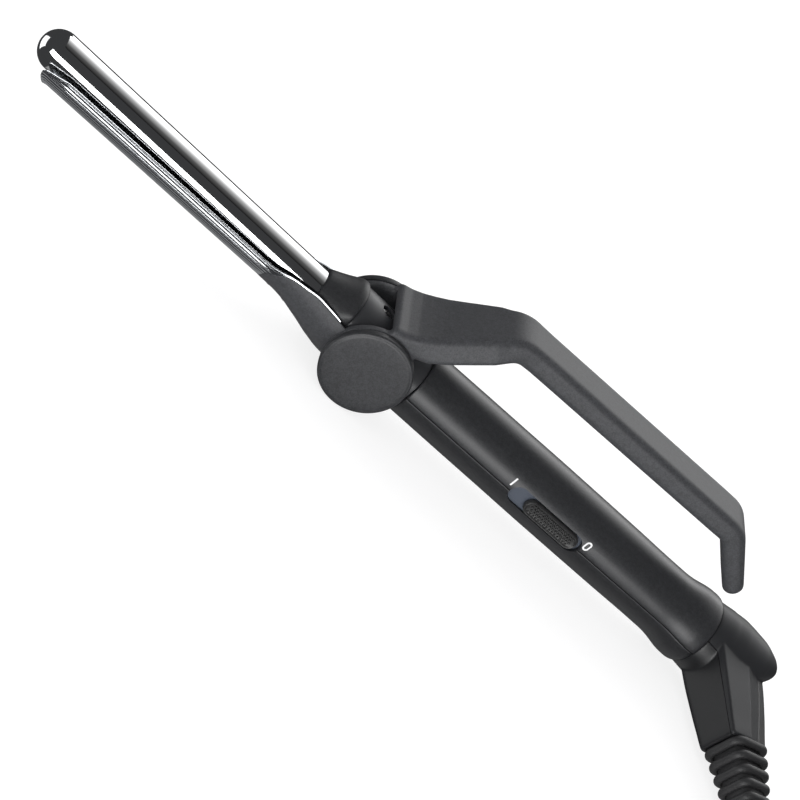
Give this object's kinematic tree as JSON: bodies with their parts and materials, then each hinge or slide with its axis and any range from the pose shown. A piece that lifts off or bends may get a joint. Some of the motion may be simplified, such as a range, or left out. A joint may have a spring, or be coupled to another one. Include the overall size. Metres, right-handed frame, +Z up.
{
  "type": "curling iron",
  "caption": "Curling iron with a chromed round barrel, a clamp spoon worked by a bent lever over a round handle, a sliding switch, and a swivel elbow with its cord wound in a hank.",
  "frame": {"origin": "under the middle of the iron's box without its cord, on the ground that the two round pivot covers stand on", "axes": "+X along the handle towards the cord end, +Y towards the far side, away from the switch and the cord, +Z up, the side of the lever"},
  "size_m": [0.525, 0.195, 0.0708],
  "materials": {
    "barrel_chrome": "polished chrome plate on the heated tube",
    "spoon_chrome": "chromed sheet with fine lengthwise ribs",
    "cast_aluminium": "as cast",
    "ceramic": "matt ceramic",
    "neck_plastic": "satin black heat-proof plastic",
    "steel": "zinc plated",
    "brass": "plain brass",
    "shell_upper": "fine-textured satin black",
    "shell_lower": "fine-textured satin black",
    "lever_plastic": "fine-textured satin black",
    "disc_plastic": "fine-textured satin black",
    "bezel_plastic": "blue-grey satin",
    "knob_plastic": "matt black with pips",
    "switch_black": "matt black",
    "board_green": "green circuit laminate",
    "lead_brown": "brown sleeve",
    "lead_blue": "blue sleeve",
    "acetal": "natural acetal",
    "elbow_upper": "satin black",
    "elbow_lower": "satin black",
    "relief_rubber": "matt black rubber",
    "cord_rubber": "black flexible sheath",
    "tie_grey": "grey soft strap",
    "plug_rubber": "moulded black",
    "pin_nickel": "nickel plated"
  },
  "bodies": {
    "root": {"barrel_tube": "barrel_chrome", "heat_carrier_upper": "cast_aluminium", "heat_carrier_lower": "cast_aluminium", "heater_plate": "ceramic", "barrel_collar": "neck_plastic", "neck_core": "neck_plastic", "neck_screw": "steel", "pivot_bush_near": "brass", "pivot_bush_far": "brass", "pivot_washer_near": "steel", "pivot_washer_far": "steel", "handle_shell_upper": "shell_upper", "handle_shell_lower": "shell_lower", "handle_screw_front": "steel", "handle_screw_rear": "steel", "switch_bezel": "bezel_plastic", "switch_block": "switch_black", "circuit_board": "board_green", "thermal_fuse": "ceramic", "lead_live": "lead_brown", "lead_neutral": "lead_blue", "swivel_seat": "acetal", "brush_holder": "acetal", "contact_brush_live": "brass", "contact_brush_neutral": "brass"},
    "clamp": {"lever_arm": "lever_plastic", "clamp_cup": "lever_plastic", "clamp_spoon": "spoon_chrome", "disc_cap_near": "disc_plastic", "disc_cap_far": "disc_plastic", "pivot_pin_near": "steel", "pivot_pin_far": "steel", "spoon_rivet_front": "steel", "spoon_rivet_rear": "steel"},
    "switch": {"switch_knob": "knob_plastic", "switch_slider": "acetal"},
    "swivel": {"swivel_spindle": "acetal", "slip_ring_live": "brass", "slip_ring_neutral": "brass", "retaining_clip": "steel", "elbow_cover": "elbow_upper", "elbow_base": "elbow_lower", "elbow_screw": "steel", "cord_grip": "cord_rubber", "strain_relief": "relief_rubber", "power_cord": "cord_rubber", "cord_hank": "cord_rubber", "cord_tie": "tie_grey", "cord_tail": "cord_rubber", "plug_body": "plug_rubber", "plug_pin_live": "pin_nickel", "plug_pin_neutral": "pin_nickel"}
  },
  "joints": [
    {"name": "clamp_pivot", "type": "hinge", "parent": "root", "child": "clamp", "pos_m": [-0.03062, 0.0131, 0.0182], "axis": [0, -1, 0], "range_deg": [0, 15]},
    {"name": "power_switch", "type": "slide", "parent": "root", "child": "switch", "axis": [-1, 0, 0], "range_m": [0, 0.0065]},
    {"name": "cord_swivel", "type": "hinge", "parent": "root", "child": "swivel", "pos_m": [0.15638, 0.0131, 0.0191], "axis": [1, 0, 0], "continuous": true}
  ]
}
